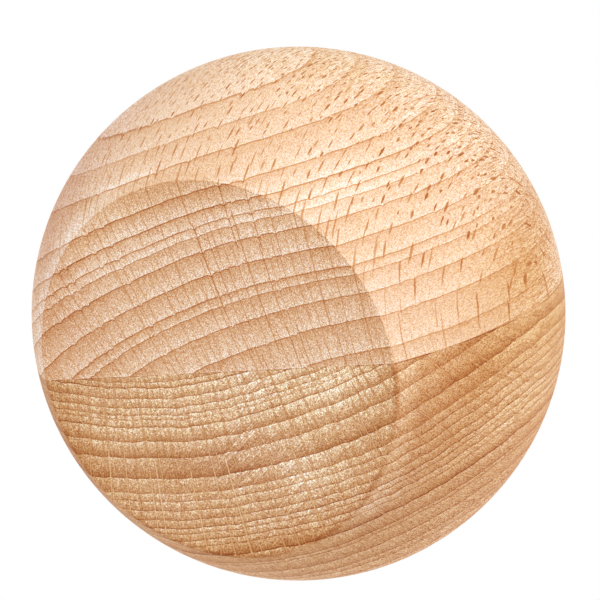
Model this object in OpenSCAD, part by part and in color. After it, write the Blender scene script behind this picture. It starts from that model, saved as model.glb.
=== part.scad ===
// Wooden ball glued up from two beech boards, turned between centres and
// sawn off level, so that it rests on a round flat face.
// The origin is the centre of the flat, and +Z runs up the turning axis.

/* [Ball] */
// Diameter of the turned ball
ball_d = 100; // [80:1:160]

/* [Flat] */
// Diameter of the flat face that the ball rests on
flat_d = 70; // [40:1:76]
// Radius of the softened edge round the flat
edge_r = 0.3; // [0.1:0.1:1.5]

/* [Glue joint] */
// How far the joint between the two boards lies to the right of the turning axis
joint_x = 0; // [-15:1:15]

/* [Hidden] */
$fn = 128;

ball_r = ball_d / 2;
flat_r = flat_d / 2;
// Height of the ball's centre above the flat
centre_h = sqrt(pow(ball_r, 2) - pow(flat_r, 2));
ball_h = centre_h + ball_r;
// The edge round is an arc that touches the flat and, from inside, the ball
edge_x = sqrt(pow(ball_r - edge_r, 2) - pow(centre_h - edge_r, 2));
edge_lean = atan2(edge_x, centre_h - edge_r);
// Side of a board before turning, with plenty for the lathe to turn away
board_side = 2 * ball_d;

// Half of the ball's section, from its axis outwards, with a crisp corner at the flat
module sawn_section() {
    intersection() {
        translate([0, centre_h]) circle(r = ball_r);
        square([ball_r, ball_h]);
    }
}

// The corner of the section outside the two points where the edge round touches
module crisp_corner() {
    reach = 2 * edge_r;
    polygon([
        [edge_x, edge_r],
        [edge_x, -reach],
        [edge_x + reach, -reach],
        [edge_x + reach * sin(edge_lean), edge_r - reach * cos(edge_lean)]
    ]);
}

// Half of the ball's section with the corner at the flat rounded over
module ball_section() {
    difference() {
        sawn_section();
        crisp_corner();
    }
    translate([edge_x, edge_r]) circle(r = edge_r);
}

// The whole ball, as it comes off the lathe and the saw
module turned_ball() {
    rotate_extrude() ball_section();
}

// One of the two boards before turning; side is -1 for left, 1 for right
module board(side) {
    translate([joint_x + side * board_side / 2, 0, centre_h])
        cube(board_side, center = true);
}

// Left half: the paler, rosier board with broad growth rings
module pale_half() {
    color("#dcb795") intersection() {
        turned_ball();
        board(-1);
    }
}

// Right half: the deeper golden board with close growth rings
module golden_half() {
    color("#c2925f") intersection() {
        turned_ball();
        board(1);
    }
}

pale_half();
golden_half();
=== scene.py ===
# %% [markdown]
# # A wooden ball turned from two beech boards
#
# The real thing is simple to hold and hard to fake: two beech boards are glued face to face, the blank
# is turned to a ball, and a slice is sawn off so that it rests on a round flat. All of its looks are
# in the wood. The solid model already has the exact shape, so this lesson leaves its two halves where
# they are and gives them their finish: rings, rays, pores and fibres that run through the whole solid,
# as they do in a real board, so that the end grain on the flat and the long grain on the round belong
# together. All lengths in the wood's pattern are in mm.

import math

import bpy
from mathutils import Matrix, Vector


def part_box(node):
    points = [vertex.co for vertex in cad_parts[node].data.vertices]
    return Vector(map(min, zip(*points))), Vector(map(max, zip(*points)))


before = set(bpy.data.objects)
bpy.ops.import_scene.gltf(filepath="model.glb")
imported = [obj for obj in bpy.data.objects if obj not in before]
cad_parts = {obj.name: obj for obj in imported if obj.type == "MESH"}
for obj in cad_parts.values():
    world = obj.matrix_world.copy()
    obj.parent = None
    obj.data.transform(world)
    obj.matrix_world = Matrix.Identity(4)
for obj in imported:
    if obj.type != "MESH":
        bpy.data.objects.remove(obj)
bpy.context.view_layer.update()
MM = 0.001
half_low, half_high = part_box("golden_half")
ball_r = (half_high.y - half_low.y) / 2
centre = Vector((0, 0, half_high.z - ball_r))
flat_r = math.sqrt(ball_r**2 - centre.z**2)
print(f"ball {2 * ball_r / MM:.1f} mm, flat {2 * flat_r / MM:.1f} mm, height {half_high.z / MM:.1f} mm")

# %% [markdown]
# ## The camera
#
# The ball is seen from below, so that its flat faces the viewer, as when it is held up in a hand. A
# long lens keeps the ball's outline a true circle. The camera is placed by its distance, its bearing
# round the ball and its height angle, and is then rolled on its own axis until the glue line lies
# level. It aims a little beside the ball's centre, which sets the framing without any lens shift.

# %% Camera
VIEW_DISTANCE = 0.508
VIEW_BEARING = math.radians(-27.8)
VIEW_HEIGHT = math.radians(-59.4)
VIEW_ROLL = math.radians(55.5)
AIM_OFFSET = Vector((-2.36, -0.37, 0.85)) * MM
LENS_MM = 162.0
NEAREST_SEEN = 0.01

towards_camera = Vector((
    math.sin(VIEW_BEARING) * math.cos(VIEW_HEIGHT),
    -math.cos(VIEW_BEARING) * math.cos(VIEW_HEIGHT),
    math.sin(VIEW_HEIGHT),
))
camera_place = centre + towards_camera * VIEW_DISTANCE
sight = centre + AIM_OFFSET - camera_place
upright = sight.to_track_quat("-Z", "Y").to_matrix().to_4x4()

camera_data = bpy.data.cameras.new("camera")
camera_data.lens = LENS_MM
camera_data.sensor_fit = "HORIZONTAL"
camera_data.clip_start = NEAREST_SEEN
camera = bpy.data.objects.new("camera", camera_data)
bpy.context.scene.collection.objects.link(camera)
camera.matrix_world = Matrix.Translation(camera_place) @ upright @ Matrix.Rotation(VIEW_ROLL, 4, "Z")
bpy.context.scene.camera = camera
print("camera at", [round(v, 4) for v in camera_place])

# %% [markdown]
# ## Shader sums in plain Python
#
# Wood needs a lot of arithmetic: distances, counts, fades. Wiring each Math node by hand hides what is
# being worked out. So one small class wraps a node's output and turns `+ - * /` into Math nodes, and
# one method makes every other node: settings first, then the values or links of its sockets.

# %% Wire
class Wire:
    """A node's output. Arithmetic on it adds Math nodes."""

    def __init__(self, tree, socket=None):
        self.tree = tree
        self.socket = socket

    def node(self, kind, settings=None, sockets=None, output=0):
        """Makes a node and gives one of its outputs."""
        made = self.tree.nodes.new(kind)
        for name, value in (settings or {}).items():
            if name == "stops":
                set_stops(made.color_ramp, value)
            elif name == "points":
                set_points(made.mapping, value)
            else:
                setattr(made, name, value)
        for name, value in (sockets or {}).items():
            if isinstance(value, Wire):
                self.tree.links.new(value.socket, made.inputs[name])
            else:
                made.inputs[name].default_value = value
        return Wire(self.tree, made.outputs[output] if made.outputs else None)

    def other(self, output):
        """Another output of the same node."""
        return Wire(self.tree, self.socket.node.outputs[output])

    def maths(self, operation, *others):
        """A Math node whose first value is this one."""
        return self.node("ShaderNodeMath", {"operation": operation}, dict(enumerate((self, *others))))

    def __add__(self, value):
        return self.maths("ADD", value)

    def __sub__(self, value):
        return self.maths("SUBTRACT", value)

    def __rsub__(self, value):
        return self.node("ShaderNodeMath", {"operation": "SUBTRACT"}, {0: value, 1: self})

    def __mul__(self, value):
        return self.maths("MULTIPLY", value)

    def __truediv__(self, value):
        return self.maths("DIVIDE", value)

    def __rtruediv__(self, value):
        return self.node("ShaderNodeMath", {"operation": "DIVIDE"}, {0: value, 1: self})

    __radd__ = __add__
    __rmul__ = __mul__


# %% [markdown]
# Two settings are lists, so they are filled in by hand: the stops of a colour ramp, which here always
# jumps from one colour to the next, and the points of a float curve, which here is made of straight
# lines.

# %% Ramps and curves
def set_stops(ramp, stops):
    """Fills a colour ramp with (place, colour) pairs."""
    ramp.interpolation = "CONSTANT"
    while len(ramp.elements) > 1:
        ramp.elements.remove(ramp.elements[-1])
    ramp.elements[0].position, ramp.elements[0].color = stops[0]
    for place, colour in stops[1:]:
        ramp.elements.new(place).color = colour


def set_points(mapping, points):
    """Fills a float curve with (x, y) points joined by straight lines."""
    curve = mapping.curves[0]
    curve.points[0].location = points[0]
    curve.points[1].location = points[-1]
    for point in points[1:-1]:
        curve.points.new(*point)
    for point in curve.points:
        point.handle_type = "VECTOR"
    mapping.update()


# %% [markdown]
# ## A few tools for patterns
#
# A few sums come back all the time: a fade from 0 to 1 between two limits, a value part of the way
# between two others, a vector or a colour taken apart, and soft random hills. A fade whose first
# limit is the larger one falls as its value rises.

# %% Pattern tools
def ease(value, start, end):
    """0 at start and 1 at end, with a smooth rise between them."""
    return value.node("ShaderNodeMapRange", {"interpolation_type": "SMOOTHSTEP"},
                      {"Value": value, "From Min": start, "From Max": end})


def between(ends, share):
    """The value that lies this share of the way from the first end to the second."""
    return ends[0] + (ends[1] - ends[0]) * share


def join(x, y, z):
    """A vector of three numbers."""
    return x.node("ShaderNodeCombineXYZ", {}, {"X": x, "Y": y, "Z": z})


def split(vector):
    """The three numbers of a vector."""
    x = vector.node("ShaderNodeSeparateXYZ", {}, {"Vector": vector})
    return x, x.other("Y"), x.other("Z")


def split_colour(colour):
    """The three numbers of a colour."""
    red = colour.node("ShaderNodeSeparateColor", {}, {"Color": colour})
    return red, red.other("Green"), red.other("Blue")


def hills(x, y, z, sizes, detail=0.0):
    """Random hills and hollows, about -1 to 1, with their length in mm along each way."""
    vector = join(x / sizes[0], y / sizes[1], z / sizes[2])
    height = vector.node("ShaderNodeTexNoise", {},
                         {"Vector": vector, "Scale": 1.0, "Detail": detail}, "Fac")
    return height * 2 - 1


# %% [markdown]
# ## Where a point lies in its board
#
# Each half was cut from its own board, and each board grew round a pith, the middle of its tree. All
# of the wood's pattern follows from two facts: how far a point is from that pith, and which way round
# it lies. The grain runs along the turning axis in both boards, and the pith lies well outside the
# ball, so the rings cross it as nearly flat, gently curved layers. Trees aren't round, so a few small
# terms bend the layers: they lean, bow, twist and flare as they go up. Rays meet every layer squarely,
# so where the layers bend, the rays turn with them. And a tree's grain often winds round its pith as
# it rises, and the rays lean with it: the spiral is that slow turn, and the swirl is a quicker one
# just above the flat.

# %% Two boards
PALE = {
    "pith": (104.5, -37.2), "seed": 11.0,
    "lean": 0.2, "bow": -1.6, "twist": -0.1, "flare": -3.6, "oval": 8.7, "hook": -2.1,
    "spiral": 0.085, "swirl": 1.2,
}
GOLDEN = {
    "pith": (-101.5, 14.6), "seed": 37.0,
    "lean": -2.8, "bow": 0.9, "twist": 0.8, "flare": 5.9, "oval": 0.6, "hook": 1.7,
    "spiral": 0.0, "swirl": 0.0,
}
BOTH = {"pale": PALE, "golden": GOLDEN}
MM_IN_METRE = 1000
BEND_UNIT = 50.0
SWIRL_HEIGHT = 10.0


def find_place(tree, board):
    """Where the shaded point is, in mm: in the ball, and out from and round the board's pith."""
    ball = Wire(tree).node("ShaderNodeTexCoord", output="Object")
    x, y, up = (part * MM_IN_METRE for part in split(ball))
    pith_x, pith_y = board["pith"]
    gap = math.hypot(pith_x, pith_y)
    from_x, from_y = x - pith_x, y - pith_y
    along = from_x * (-pith_x / gap) + from_y * (-pith_y / gap)
    across = from_y * (-pith_x / gap) - from_x * (-pith_y / gap)
    out = (along * along + across * across).maths("SQRT")
    round_pith = across.maths("ARCTAN2", along) * gap

    h = up / BEND_UNIT
    a = round_pith / BEND_UNIT
    o = (out - gap) / BEND_UNIT
    bends = h * (board["lean"] + h * board["bow"] + a * board["twist"] + o * board["flare"])
    layer = out + bends + a * (o * board["oval"] + a * a * board["hook"])
    # Turning is the layers' slope as one goes round the pith, summed up on the way out to the point.
    turning = h * board["twist"] + o * (board["oval"] / 2) + a * a * (3 * board["hook"])
    swirl = ((up / -SWIRL_HEIGHT).maths("EXPONENT") - 1) * board["swirl"]
    return {
        "x": x, "y": y, "up": up, "out": out, "layer": layer,
        "round": round_pith - o * turning, "winding": swirl - up * board["spiral"],
    }


for board_name, board in BOTH.items():
    print(board_name, "board's pith lies", round(math.hypot(*board["pith"])), "mm from the turning axis")

# %% [markdown]
# ## Rays
#
# Beech is known by its rays: thin ribbons of tissue that run straight out from the pith through every
# ring. Cut across, on the round, each one shows as a short spindle in line with the grain. On the sawn
# flat the same ribbons are seen edge on, as fine lines that point at the pith. Cells of a
# Voronoi texture, stretched along the ribbons, give each ray its place, and the cell's random colour
# gives its height, its thickness and how dark it is. The ribbons drift and shake a little on their way
# out. They are tallest near the flat. High on the ball they crowd closer together and are a little
# taller again.

# %% Rays
DRIFT_SIZES = (30, 14, 60)
DRIFT_BY = 0.5
SHAKE_SIZES = (3.5, 5, 30)
SHAKE_BY = 0.12
RAY_SCATTER = 0.85
CROWDED_ABOVE = 20.0
CROWDED_BLEND = 12.0
CROWDED_BY = 0.45
TALLER_LOW = (9, 0)
TALLER_HIGH = (16, 26)
TALLER_HIGH_BY = 0.35
COVER_EDGE = (-0.03, 0.07)
SIDE_EDGE = (-0.20, -0.06)
NEAR_AROUND = (0.6, 0.0)
NEAR_UP = (1.6, 0.6)


def rays(place, seed, spacing, half_tall, half_thick, breadth=1.0):
    """Ribbons out from the pith, as four numbers from 0 to 1.

    They say how much the ribbons cover, how much their sides do and how near one is, and the last
    is a chance number of each ribbon's own.
    """
    up, out = place["up"], place["out"]
    drift = hills(out, up, place["round"], DRIFT_SIZES) * DRIFT_BY
    shake = hills(out, up, place["round"], SHAKE_SIZES) * SHAKE_BY
    around = place["round"] + place["winding"] + drift + shake + seed
    rise = up + (up - CROWDED_ABOVE).maths("SMOOTH_MAX", 0.0, CROWDED_BLEND) * CROWDED_BY
    cell = join(around / spacing[0], out / spacing[1], (rise + seed) / spacing[2])
    nearest = cell.node("ShaderNodeTexVoronoi", {"feature": "F1"},
                        {"Vector": cell, "Scale": 1.0, "Randomness": RAY_SCATTER}, "Position")
    chance_tall, chance_thick, chance = split_colour(nearest.other("Color"))

    cell_around, _, cell_up = split(cell)
    mid_around, _, mid_up = split(nearest)
    off_around = ((cell_around - mid_around) * spacing[0]).maths("ABSOLUTE")
    off_up = (cell_up - mid_up) * spacing[2]
    taller = ease(up, *TALLER_LOW) + ease(up, *TALLER_HIGH) * TALLER_HIGH_BY
    reach = off_up / (between(half_tall, chance_tall) * (taller + 1))
    lens = between(half_thick, chance_thick) * breadth * (1 - reach * reach)
    cover = ease(lens - off_around, *COVER_EDGE)
    side = ease(lens - off_around, *SIDE_EDGE) * (1 - cover)
    near = ease(off_around, *NEAR_AROUND) * ease(reach * reach, *NEAR_UP)
    return cover, side, near, chance


# %% [markdown]
# ## Growth rings
#
# A ring is a year. Beech starts it pale, darkens it slowly, and ends it with a thin brown line that
# stops sharply at the next spring. No two years are alike, so the rings are a list of widths in mm,
# pith side first, each with the strength of its line, of the dark band just inside it, and how much
# darker or paler that year's wood is. A float curve turns distance into a count of rings. Its whole
# part says which ring a point is in, and its fraction says how far through. A colour ramp then looks
# up that ring's numbers.

# %% Ring widths
PALE["first_layer"] = 98.0
PALE["rings"] = [
    (4.2, 0.6, 0.5, 0.0), (3.8, 0.5, 0.4, 0.0), (6.3, 0.7, 0.5, 0.0), (5.0, 0.6, 0.5, 0.0),
    (3.9, 0.6, 0.5, 0.0), (1.8, 0.6, 0.4, 0.0), (4.3, 0.7, 0.6, 0.0), (4.4, 0.9, 0.7, 0.0),
    (2.9, 0.6, 0.2, 0.0), (1.6, 0.8, 0.1, -0.04), (2.6, 0.9, 0.8, -0.02), (3.5, 0.7, 0.6, 0.0),
    (5.4, 0.8, 0.6, 0.0), (3.7, 0.4, 0.3, 0.0), (3.4, 0.8, 0.6, 0.0), (5.6, 0.7, 0.5, 0.0),
    (3.9, 0.6, 0.5, 0.0), (3.5, 0.5, 0.5, 0.0), (4.2, 0.6, 0.4, 0.0),
]
GOLDEN["first_layer"] = 95.2
GOLDEN["rings"] = [
    (2.3, 0.6, 0.5, 0.0), (1.6, 0.5, 0.4, 0.0), (1.9, 0.7, 0.5, 0.0), (1.6, 0.5, 0.5, 0.0),
    (1.1, 0.8, 0.6, 0.0), (2.1, 0.6, 0.5, 0.0), (1.8, 0.7, 0.5, 0.0), (1.4, 0.5, 0.3, 0.0),
    (0.9, 0.2, 0.2, 0.0), (1.4, 0.8, 0.5, 0.0), (2.7, 0.25, 0.9, 0.0), (3.1, 0.2, 1.0, 0.0),
    (4.0, 0.2, 1.4, 0.0), (2.9, 0.1, 0.7, 0.0), (1.5, 0.6, 0.2, 0.0), (1.8, 0.7, 0.3, 0.0),
    (1.8, 0.6, 0.5, 0.0), (1.6, 1.2, 0.5, 0.0), (1.0, 0.8, 0.1, -0.03), (1.4, 0.9, 0.3, 0.0),
    (1.2, 0.7, 0.0, -0.04), (2.2, 0.9, 1.0, 0.0), (2.7, 0.9, 0.5, 0.0), (0.7, 0.4, 0.1, 0.0),
    (2.8, 0.8, 0.4, 0.0), (2.8, 0.6, 0.5, 0.0), (1.5, 0.5, 0.4, 0.0), (2.9, 0.7, 0.6, 0.0),
    (2.2, 0.5, 0.4, 0.0), (4.8, 0.7, 0.6, 0.0), (2.4, 0.5, 0.4, 0.0), (2.6, 0.6, 0.5, 0.0),
]
TONE_ZERO = 0.5
WIDTH_SCALE = 10


def ring_widths(board):
    """The widths of a board's rings, in mm."""
    return [ring[0] for ring in board["rings"]]


def ring_step(layer, board):
    """The ring a point is in: how far through it (0 to 1), its width in mm, its line, band and tone."""
    widths = ring_widths(board)
    count = len(widths)
    points = [(sum(widths[:i]) / sum(widths), i / count) for i in range(count + 1)]
    share = (layer - board["first_layer"]) / sum(widths)
    rings = share.node("ShaderNodeFloatCurve", {"points": points}, {"Value": share}) * count
    whole = rings.maths("FLOOR")
    stops = [(i / count, (line, band, TONE_ZERO + tone, width / WIDTH_SCALE))
             for i, (width, line, band, tone) in enumerate(board["rings"])]
    look = whole.node("ShaderNodeValToRGB", {"stops": stops}, {"Fac": (whole + 0.5) / count})
    line, band, tone = split_colour(look)
    return rings - whole, look.other("Alpha") * WIDTH_SCALE, line, band, tone - TONE_ZERO


for board_name, board in BOTH.items():
    widths = ring_widths(board)
    print(board_name, "board:", len(widths), "rings,", min(widths), "to", max(widths), "mm wide")

# %% [markdown]
# ## How a ring shows
#
# The rings' layers wander and flutter a little, as they do in a tree. Between rays a ring's line bulges
# outwards, and at each ray it dips back. Three things make up the look of a year: its thin line, the
# dark band that fades away inside the line, and a slow slope from pale spring wood to darker autumn
# wood. High on the round of the ball, all of this gets fainter.

# %% Ring marks
WANDER_SIZES = (22, 22, 50)
WANDER_BY = 0.5
FLUTTER_SIZES = (3.0, 20, 5)
FLUTTER_DETAIL = 1.5
DIP_CHANCE = (0.3, 1.0)
LINE_EDGE = (0.30, 0.06)
BAND_REACH = 0.8
PATCH_SIZES = (9, 5, 30)
PATCH_BY = 0.8
SPRING_REACH = 1.2
FAINTER_UP = (10, 40)


def ring_marks(place, end, near, chance, board):
    """The rings' brown, how much of it shows here, and how near the start of its year the wood is."""
    x, y, up = place["x"], place["y"], place["up"]
    wander = hills(x, y, up, WANDER_SIZES) * WANDER_BY
    flutter = hills(place["round"], place["out"], up, FLUTTER_SIZES, FLUTTER_DETAIL) * board["waves"]
    dip = near * ease(chance, *DIP_CHANCE) * board["notch"]
    layer = place["layer"] + wander + flutter + dip + between(board["shift"], end)
    through, width, line_grade, band_grade, tone = ring_step(layer, board)

    inside = (1 - through) * width
    line = ease(inside, *LINE_EDGE) * line_grade
    band = (inside / -BAND_REACH).maths("EXPONENT") * band_grade
    patch = 1 + hills(place["round"], place["out"], up, PATCH_SIZES) * PATCH_BY
    brown = line * board["line_depth"] + band * patch * board["band_depth"]
    brown = brown + (through - 0.5) * board["slope"] + tone
    spring = (through * width / -SPRING_REACH).maths("EXPONENT")
    fade = 1 - ease(up, *FAINTER_UP) * (1 - end) * board["rings_fade"]
    return brown, brown * between(board["rings_show"], end) * fade, spring


# %% [markdown]
# ## Fibres and flecks
#
# Between the rings the wood is a mass of fibres and open tubes, far too many to draw. At this size they
# read as a fine speckle, longer with the grain than across it. Small Voronoi cells, each with one tone
# by chance, give that speckle its crisp edges, where a smooth noise would look like fog. Short cells
# make dots and long ones make strands. At one side of the pale half the strands calm down and the dots
# get stronger. Up the round and toward the outer rings, the speckle gets rougher or softer.

# %% Fibres
DOT_ACROSS = 0.12
STRAND_ACROSS = 0.14
STRAND_LONG = 3.5
STRAND_SHIFT = 2.5
CALM_ROUND = (2, -14)
CALM_DOTS_BY = 2.2
ROUGH_UP = (15, 45)
ROUGH_OUT = (138, 148)


def bundle(place, across, along, shift=0.0):
    """Two chance numbers for each bundle of fibres, 0 on average: one mostly low and one even."""
    cell = join(place["x"] / across + shift, place["y"] / across, place["up"] / along)
    tone = cell.node("ShaderNodeTexVoronoi", {"feature": "F1"}, {"Vector": cell, "Scale": 1.0}, "Color")
    chance, even, _ = split_colour(tone)
    return chance * chance * 3 - 1, even * 2 - 1


def fibres(place, end, board):
    """The fibres' own tone, the brown they bring, and how far their colour leans to amber."""
    dot, dot_hue = bundle(place, DOT_ACROSS, board["fibre_long"])
    strand, strand_hue = bundle(place, STRAND_ACROSS, STRAND_LONG, STRAND_SHIFT)
    calm = (1 - end) * ease(place["round"], *CALM_ROUND) * board["calms"]
    dots = dot * (1 + calm * CALM_DOTS_BY) * board["dots"]
    fibre = dots + strand * (1 - calm) * board["strands"]
    rough_up = ease(place["up"], *ROUGH_UP) * board["rough_up"]
    rough = rough_up + ease(place["layer"], *ROUGH_OUT) * board["rough_out"]
    brown = fibre * between(board["speckle"], end) * (1 + (1 - end) * rough)
    hue = (dot_hue * board["dots"] + strand_hue * board["strands"]) * between(board["hue"], end)
    return fibre, brown, hue


# %% [markdown]
# Some bundles catch the light and look like silky flecks. They are larger cells, chosen where several
# things help them: the pale spring wood of a ring, a cream patch of the board, and a soft cloud.

# %% Silky flecks
FLECK_ACROSS = 0.30
FLECK_LONG = 0.8
FLECK_SHIFT = 5.5
FLECK_EDGE = (0.25, 0.65)
BY_CHANCE = 0.5
BY_SPRING = 0.6
BY_CLOUD = 0.3
BY_CREAM = 1.5
CLOUD_SIZES = (6, 6, 20)
CLOUD_DETAIL = 1.0


def silky_flecks(place, spring, cream):
    """Where a silky fleck is, and the soft clouds that gather the flecks."""
    cloud = hills(place["x"], place["y"], place["up"], CLOUD_SIZES, CLOUD_DETAIL)
    even = bundle(place, FLECK_ACROSS, FLECK_LONG, FLECK_SHIFT)[1]
    chosen = even * BY_CHANCE + spring * BY_SPRING + cloud * BY_CLOUD + cream * BY_CREAM
    return ease(chosen, *FLECK_EDGE), cloud


# %% [markdown]
# ## The rim of the flat
#
# Hands and tables rub the rim, so the wood changes a little for a few mm on either side of it, and the
# edge itself has gone darker in patches.

# %% Rim
RIM_RADIUS = round(flat_r / MM)
RIM_REACH = 5.0
RUBBED_EDGE = (0.8, 0.2)
RUBBED_SIZES = (9, 9, 9)
RUBBED_PATCHES = (-0.4, 0.2)
print("the rim's radius is", RIM_RADIUS, "mm")


def edge_ring(place):
    """How near the rim of the flat is, 0 to 1, and the rubbed edge itself, in patches."""
    x, y, up = place["x"], place["y"], place["up"]
    off = (x * x + y * y).maths("SQRT") - RIM_RADIUS
    far = (off * off + up * up).maths("SQRT")
    patchy = hills(x, y, up, RUBBED_SIZES)
    return ease(far, RIM_REACH, RIM_REACH / 2), ease(far, *RUBBED_EDGE) * ease(patchy, *RUBBED_PATCHES)


# %% [markdown]
# ## Stains and painted shade
#
# No board is one colour all over. Broad, soft patches run along its layers: amber heartwood here, a
# cream streak of young wood there. Each one is a soft hill placed in the board's own terms,
# round, out and up in mm, with a size each way, how much brown it adds and how much amber.

# %% Stains and painted shade
# Six of the pale board's stains, marked below, are painted shade: they darken its far left edge, the
# side of the ball turned away from the key lamp, and take some amber out there.
PALE["stains"] = [
    ((50, 109, 31), (8, 11, 15), -0.02, 0.42),
    ((45, 104, 13), (8, 6, 8), 0.07, 0.0),
    ((48, 118, 44), (9, 8, 10), 0.08, 0.08),
    ((28, 137, 6), (15, 6, 14), -0.07, 0.0),
    ((15, 155, 24), (16, 6, 16), -0.06, 0.04),
    # painted shade: darkens the pale board's far left edge
    ((-20, 150, 16), (7, 13, 18), 0.14, -0.12),
    ((5, 145, 0), (16, 3, 3), 0.03, 0.10),
    ((-7, 144, 0), (8, 8, 8), -0.07, 0.0),
    # painted shade: darkens the pale board's far left edge
    ((-11, 153, 13), (8, 7, 10), 0.11, -0.14),
    ((-20, 130, 0), (7, 8, 8), 0.10, -0.10),
    ((20, 152, 38), (22, 16, 13), -0.10, 0.22),
    # painted shade: darkens the pale board's far left edge
    ((-22, 145, 9), (6, 12, 10), 0.13, -0.14),
    # painted shade: darkens the pale board's far left edge
    ((-17, 149, 13), (7, 8, 9), 0.14, -0.12),
    # painted shade: darkens the pale board's far left edge
    ((-5, 158, 21), (9, 6, 8), 0.10, -0.12),
    # painted shade: darkens the pale board's far left edge
    ((-13, 147, 5), (9, 7, 5), 0.06, 0.0),
    ((38, 116, 4), (7, 8, 6), 0.05, -0.08),
    ((40, 131, 44), (9, 12, 12), -0.05, 0.13),
]
GOLDEN["stains"] = [
    ((-4, 107, 0), (26, 7, 5), -0.10, -0.02),
    ((-11, 124, 0), (7, 4, 6), -0.08, -0.03),
    ((24, 113, 0), (8, 3.5, 5), -0.06, 0.0),
    ((4, 119, 0), (11, 3, 6), 0.18, -0.10),
    ((-20, 113, 0), (8, 4.5, 5), -0.11, -0.03),
    ((0, 136, 0), (13, 3, 4), 0.12, 0.14),
    ((31, 117, 0), (7, 13, 8), 0.10, 0.08),
    ((-31, 113, 4), (5, 6, 5), -0.09, 0.03),
    ((-29, 122, 3), (4, 8, 3), 0.09, -0.04),
    ((-37, 121, 14), (8, 8, 8), 0.02, 0.16),
    ((-37, 132, 28), (9, 9, 14), -0.15, 0.04),
    ((-44, 121, 38), (7, 7, 16), -0.22, 0.25),
    ((-40, 130, 42), (9, 9, 18), -0.06, 0.0),
    ((-18, 134, 3), (8, 6, 4), 0.05, -0.16),
    ((-36, 129, 15), (6, 9, 8), -0.08, 0.02),
    ((-8, 148, 15), (10, 6, 9), -0.04, 0.13),
    ((-43, 119, 22), (5, 6, 10), -0.08, 0.10),
]


def stains(place, board):
    """The brown and the amber that the board's stains and painted shade add, and how much cream they
    bring.
    """
    brown = amber = cream = 0.0
    for (at_round, at_out, at_up), (wide, deep, tall), adds_brown, adds_amber in board["stains"]:
        off_round = (place["round"] - at_round) / wide
        off_out = (place["layer"] - at_out) / deep
        off_up = (place["up"] - at_up) / tall
        off = off_round * off_round + off_out * off_out + off_up * off_up
        spot = (0 - off).maths("EXPONENT")
        brown = spot * adds_brown + brown
        amber = spot * adds_amber + amber
        cream = spot * max(0.0, -adds_brown) + cream
    return brown, amber, cream


print(", ".join(f"{board_name}: {len(board['stains'])} stains" for board_name, board in BOTH.items()))

# %% [markdown]
# ## Scratches and the glue line
#
# Sanding across the end grain leaves fine straight scratches, all one way, that show in patches. And
# where the two boards meet, a film of glue shows as a hairline with gaps: dark on the golden board's
# edge, and faint on the pale one's. Both are worked out from a point's place in the ball.

# %% Scratches and glue
SCRATCH_ANGLE = math.radians(50.3)
SCRATCH_SIZES = (0.2, 15, 3)
SCRATCHED = (17.0, -4.0)
SCRATCHED_REACH = 24.0
SCRATCHED_SIZES = (11, 11, 11)
SCRATCHED_EDGE = (-0.6, 0.15)
GLUE_EDGE = (0.28, 0.06)
GLUE_GAP_SIZES = (14, 14, 14)
GLUE_GAPS = (-0.35, 0.1)


def scratches(place):
    """Fine straight scratches on the flat, about -1 to 1, and how worn the place is."""
    x, y, up = place["x"], place["y"], place["up"]
    across = x * math.sin(SCRATCH_ANGLE) - y * math.cos(SCRATCH_ANGLE)
    along = x * math.cos(SCRATCH_ANGLE) + y * math.sin(SCRATCH_ANGLE)
    grooves = hills(across, along, up, SCRATCH_SIZES)
    off_x, off_y = x - SCRATCHED[0], y - SCRATCHED[1]
    far = (off_x * off_x + off_y * off_y) / (SCRATCHED_REACH * SCRATCHED_REACH)
    patches = hills(x, y, up, SCRATCHED_SIZES) - far
    worn = ease(patches, *SCRATCHED_EDGE)
    return grooves * worn, worn


def glue(place):
    """How near the glue line is, 0 to 1, with gaps where the joint is too tight to see."""
    beside = place["x"].maths("ABSOLUTE")
    gaps = hills(place["y"], place["up"], place["x"], GLUE_GAP_SIZES)
    return ease(beside, *GLUE_EDGE) * ease(gaps, *GLUE_GAPS)


# %% [markdown]
# ## Brown in one number
#
# Wood darkens the way tea does: each further bit of brown takes a little red, twice as much green and
# three times as much blue. So the whole pattern is worked out as one number, the depth of brown, and
# turned into colour at the very end. Dark lines then come out warm and deep by themselves, and never
# grey. A second number, amber, stains the wood orange without making it much darker.

# %% Steep
AMBER_TAKES = (0.45, 1.0, 2.0)


def steep(depth, amber, board):
    """The colour that the board's light wood takes at a depth of brown and of amber."""
    parts = []
    for part, brown_takes, amber_takes in zip(board["light"], board["takes"], AMBER_TAKES):
        taken = depth * brown_takes + amber * amber_takes
        parts.append((0 - taken).maths("EXPONENT") * part)
    return depth.node("ShaderNodeCombineColor", {}, dict(zip(("Red", "Green", "Blue"), parts)))


# %% [markdown]
# ## Two finishes
#
# On the round the cut runs along the fibres and the wood looks pale and smooth. On the flat it runs
# across them, and open fibre ends drink in light: the wood looks deeper, and its pores show as dots.
# So most numbers of a board's finish come in pairs: the first is for the round and the second for the
# flat. A few differ. `light` and `takes` are red, green and blue. `ray_spacing` is the mm between rays
# round, out and up, and `ray_tall` and `ray_thick` are half of the least and of the greatest height
# and thickness. A 0 switches off what only the other board has.

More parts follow.
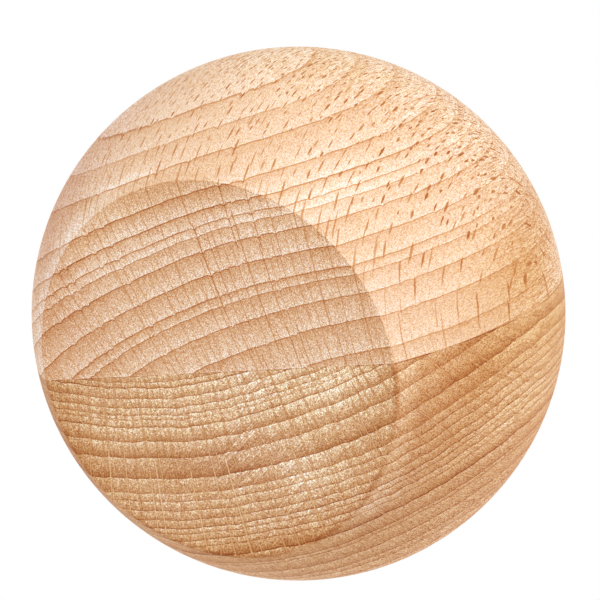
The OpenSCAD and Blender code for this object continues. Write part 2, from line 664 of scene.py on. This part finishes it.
# %% Finish of each board
PALE.update(
    light=(0.885, 0.60, 0.392), takes=(0.9, 2.0, 3.25),
    shade=(-0.025, 0.05), warmth=(0.04, 0.065),
    rings_show=(0.74, 1.15), rings_fade=0.55, line_depth=0.42, band_depth=0.16, slope=0.16,
    shift=(-0.09, -0.22), notch=0.35, waves=0.2,
    ray_spacing=(1.7, 22.0, 3.6), ray_tall=(0.6, 1.65), ray_thick=(0.07, 0.165),
    ray_brown=(0.52, 0.54), ray_amber=(0.12, 0.05), ray_side=(0.0, 0.0), ray_hides=(0.5, 0.3),
    ray_broad=0.0, ray_slims=0.5, ray_inner=0.0, ray_thins=0.0, fine_rays=(0.10, 0.22),
    dots=0.8, strands=0.6, calms=0.7, rough_up=0.9, rough_out=0.0, fibre_long=0.45,
    speckle=(0.11, 0.215), hue=(0.42, 0.42), flecks=(0.0, 0.04),
    glue_brown=(0.10, -0.08), scratch_brown=-0.06,
    rim_brown=(0.0, 0.03), rim_amber=(-0.02, 0.03), edge_brown=0.0,
)
GOLDEN.update(
    light=(0.67, 0.355, 0.165), takes=(1.0, 2.0, 2.98),
    shade=(0.01, -0.045), warmth=(0.045, 0.07),
    rings_show=(1.15, 1.1), rings_fade=0.2, line_depth=0.32, band_depth=0.24, slope=0.12,
    shift=(-0.2, -0.27), notch=0.08, waves=0.42,
    ray_spacing=(1.9, 20.0, 8.0), ray_tall=(1.5, 4.5), ray_thick=(0.09, 0.15),
    ray_brown=(-0.16, -0.42), ray_amber=(0.0, 0.13), ray_side=(0.12, 0.12), ray_hides=(0.8, 0.95),
    ray_broad=0.05, ray_slims=0.0, ray_inner=0.18, ray_thins=0.65, fine_rays=(0.12, 0.12),
    dots=0.95, strands=0.3, calms=0.0, rough_up=-0.55, rough_out=0.7, fibre_long=0.35,
    speckle=(0.21, 0.26), hue=(0.40, 0.45), flecks=(0.04, 0.21),
    glue_brown=(0.50, 0.30), scratch_brown=-0.30,
    rim_brown=(-0.04, 0.03), rim_amber=(-0.04, 0.03), edge_brown=0.22,
)

# %% [markdown]
# ## Large rays and fine rays
#
# A board's rays aren't the same all over. On the round they get slimmer toward the pith. On the flat
# many of the golden board's rays hide among the fibres, all but the outermost, and those nearest its
# pith are darker. How strong a ray's colour is goes by chance, by its height up the round and by the
# side it is on. Between the large rays run many fine ones, which only add a little texture.

# %% Ray marks
SLIM_OUT = (126, 112)
HIDDEN_CHANCE = (0.68, 0.32)
HIDDEN_OUT = (139, 129)
DARKER_OUT = (118, 114)
STRONG_UP = (-4, 18)
STRONG_ROUND = (-15, 10)
BY_HEIGHT = (0.55, 1.0)
BY_SIDE = (0.6, 1.0)
BY_LUCK = (0.5, 1.3)
FINE_SPACING = (0.7, 9.0, 1.8)
FINE_TALL = (0.3, 1.1)
FINE_THICK = (0.03, 0.09)
FINE_PALE_SHARE = 0.2


def large_rays(place, end, board):
    """The board's large rays: their cover, their sides, how near one is, its chance and its brown."""
    slim = (1 - end) * ease(place["layer"], *SLIM_OUT) * board["ray_slims"]
    breadth = end * board["ray_broad"] - slim + 1
    sizes = board["ray_spacing"], board["ray_tall"], board["ray_thick"]
    cover, side, near, chance = rays(place, board["seed"], *sizes, breadth)
    hidden = end * ease(chance, *HIDDEN_CHANCE) * ease(place["layer"], *HIDDEN_OUT) * board["ray_thins"]

    strong = between(BY_HEIGHT, ease(place["up"], *STRONG_UP))
    strong = strong * between(BY_SIDE, ease(place["round"], *STRONG_ROUND))
    strong = strong * between(BY_LUCK, chance)
    inner = end * ease(place["layer"], *DARKER_OUT) * board["ray_inner"]
    brown = between(board["ray_brown"], end) * strong + inner
    return cover * (1 - hidden), side, near, chance, brown


def fine_rays(place, board):
    """How much the board's fine rays cover, and their tone: mostly darker than the wood, some paler."""
    cover, _, _, chance = rays(place, board["seed"], FINE_SPACING, FINE_TALL, FINE_THICK)
    return cover, chance - FINE_PALE_SHARE


# %% [markdown]
# ## The wood
#
# Long grain and end grain differ only in the way the surface faces, so the object's own normal tells
# them apart. Then the marks are laid on in the order in which they cover each other: rings, stains and
# painted shade first, next fibres, flecks and scratches, then the rays, which hide what they cross, and
# the glue and the rubbed edge last. The fibres also vary the surface's roughness and raise it by a few
# hundredths of a mm.

# %% Beech
END_FACES = (0.74, 0.96)
RIM_CLEAN = 0.07
RIM_CLEAN_ROUND = (25, -5)
HUE_BROWN = 0.5
RINGS_AMBER = 0.15
CLOUD_AMBER = 0.04
WORN_AMBER = 0.09
RELIEF = 0.02
RELIEF_STRENGTH = 0.3
ROUGHNESS = 0.55
ROUGHNESS_BY = 0.05
SHINE = 0.1


def beech(name, board):
    """The wood of one board, as a material."""
    material = bpy.data.materials.new(name)
    material.use_nodes = True
    tree = material.node_tree
    tree.nodes.clear()
    place = find_place(tree, board)
    facing = split(Wire(tree).node("ShaderNodeTexCoord", output="Normal"))[2]
    end = ease(facing.maths("ABSOLUTE"), *END_FACES)

    def pair(name):
        return between(board[name], end)

    cover, side, near, chance, ray_brown = large_rays(place, end, board)
    fine_cover, fine_tone = fine_rays(place, board)
    ring_brown, rings, spring = ring_marks(place, end, near, chance, board)
    # The stains' brown and amber include painted shade at the pale board's far left edge.
    brown, amber, cream = stains(place, board)
    fibre, speckle, hue = fibres(place, end, board)
    fleck, cloud = silky_flecks(place, spring, cream)
    rim, edge = edge_ring(place)
    groove, worn = scratches(place)

    depth = pair("shade") + rings + brown + rim * pair("rim_brown")
    depth = depth - rim * (1 - end) * ease(place["round"], *RIM_CLEAN_ROUND) * RIM_CLEAN
    depth = depth + speckle - fleck * pair("flecks") - hue * HUE_BROWN
    depth = depth + groove * end * board["scratch_brown"]
    depth = depth * (1 - cover * pair("ray_hides")) + cover * ray_brown
    depth = depth + side * pair("ray_side") + fine_cover * pair("fine_rays") * fine_tone
    depth = depth + glue(place) * pair("glue_brown") + edge * board["edge_brown"]
    amber = amber + pair("warmth") + ring_brown * RINGS_AMBER + cloud * CLOUD_AMBER + hue
    amber = amber + rim * pair("rim_amber") + cover * pair("ray_amber") - worn * end * WORN_AMBER

    colour = steep(depth, amber, board)
    bump = colour.node("ShaderNodeBump", {}, {
        "Height": fibre * RELIEF * MM, "Distance": 1.0, "Strength": RELIEF_STRENGTH,
    })
    surface = colour.node("ShaderNodeBsdfPrincipled", {}, {
        "Base Color": colour, "Roughness": ROUGHNESS + fibre * ROUGHNESS_BY,
        "Specular IOR Level": SHINE, "Normal": bump,
    })
    surface.node("ShaderNodeOutputMaterial", {}, {"Surface": surface})
    print(name, "uses", len(tree.nodes), "nodes")
    return material


# %% [markdown]
# Each half now gets the wood of its own board. The solid itself stays untouched: only its material
# slot changes.

# %% Dress the two halves
for node_name, material_name, board in (
    ("pale_half", "pale_beech", PALE),
    ("golden_half", "golden_beech", GOLDEN),
):
    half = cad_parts[node_name]
    half.data.materials.clear()
    half.data.materials.append(beech(material_name, board))

# %% [markdown]
# ## The floor
#
# The ball rests on a plain pale floor. The camera looks up at the flat from under that floor, so the
# floor is clear when it is seen from its back, and it is shown to the camera alone: it neither shades
# the ball from the lamps nor lights it, but still carries the ball's own shadow when seen from above.

# %% Floor
FLOOR_SIZE = 6.0
FLOOR_GAP = 0.1 * MM
FLOOR_COLOUR = (0.93, 0.93, 0.92, 1)

bpy.ops.object.select_all(action="DESELECT")
bpy.ops.mesh.primitive_plane_add(size=FLOOR_SIZE, location=(0, 0, -FLOOR_GAP))
floor = bpy.context.object
floor.name = "floor"
floor.visible_diffuse = False
floor.visible_glossy = False
floor.visible_transmission = False
floor.visible_shadow = False
floor_paint = bpy.data.materials.new("floor_paint")
floor_paint.use_nodes = True
floor_paint.node_tree.nodes.clear()
start = Wire(floor_paint.node_tree)
paint = start.node("ShaderNodeBsdfDiffuse", {}, {"Color": FLOOR_COLOUR})
clear = start.node("ShaderNodeBsdfTransparent")
behind = start.node("ShaderNodeNewGeometry", output="Backfacing")
both = start.node("ShaderNodeMixShader", {}, {0: behind, 1: paint, 2: clear})
start.node("ShaderNodeOutputMaterial", {}, {"Surface": both})
floor.data.materials.append(floor_paint)
print("floor", round(floor.dimensions.x, 2), "m wide")

# %% [markdown]
# ## Light
#
# The light is a plain studio: a white room all round, and one large soft lamp up and to the right of
# the camera, which gives the ball its gentle shading. Two more soft lamps, one overhead and one at the
# side, even out the views from above. The room is white to the camera and in reflections, and a little
# dimmer as a light.

# %% World
ROOM_LIGHT = 0.73

world = bpy.data.worlds.new("studio")
bpy.context.scene.world = world
world.use_nodes = True
world.node_tree.nodes.clear()
start = Wire(world.node_tree)
ray_kind = start.node("ShaderNodeLightPath", output="Is Camera Ray")
shown = ray_kind.maths("MAXIMUM", ray_kind.other("Is Glossy Ray"))
shown = shown.maths("MAXIMUM", ray_kind.other("Is Transmission Ray"))
strength = between((ROOM_LIGHT, 1), shown)
room = start.node("ShaderNodeBackground", {}, {"Color": (1, 1, 1, 1), "Strength": strength})
start.node("ShaderNodeOutputWorld", {}, {"Surface": room})
print("the room lights the ball at", ROOM_LIGHT, "of white")

# %% Lamps
LAMP_SIZE = 0.9
LAMP_DISTANCE = 1.1


def soft_lamp(name, direction, watts):
    """A large round lamp that points at the ball and isn't seen itself."""
    lamp_data = bpy.data.lights.new(name, "AREA")
    lamp_data.shape = "DISK"
    lamp_data.size = LAMP_SIZE
    lamp_data.energy = watts
    lamp = bpy.data.objects.new(name, lamp_data)
    bpy.context.scene.collection.objects.link(lamp)
    lamp.location = centre + Vector(direction).normalized() * LAMP_DISTANCE
    lamp.rotation_euler = (centre - lamp.location).to_track_quat("-Z", "Y").to_euler()
    lamp.visible_camera = False
    lamp.visible_glossy = False
    print(name, "gives", watts, "W")


soft_lamp("key_lamp", (-0.54, -0.72, -0.44), watts=5.5)
soft_lamp("top_lamp", (0.75, 0.0, 0.66), watts=7.4)
soft_lamp("side_lamp", (0.27, 0.96, 0.05), watts=2.2)

bpy.context.scene.view_settings.view_transform = "Standard"
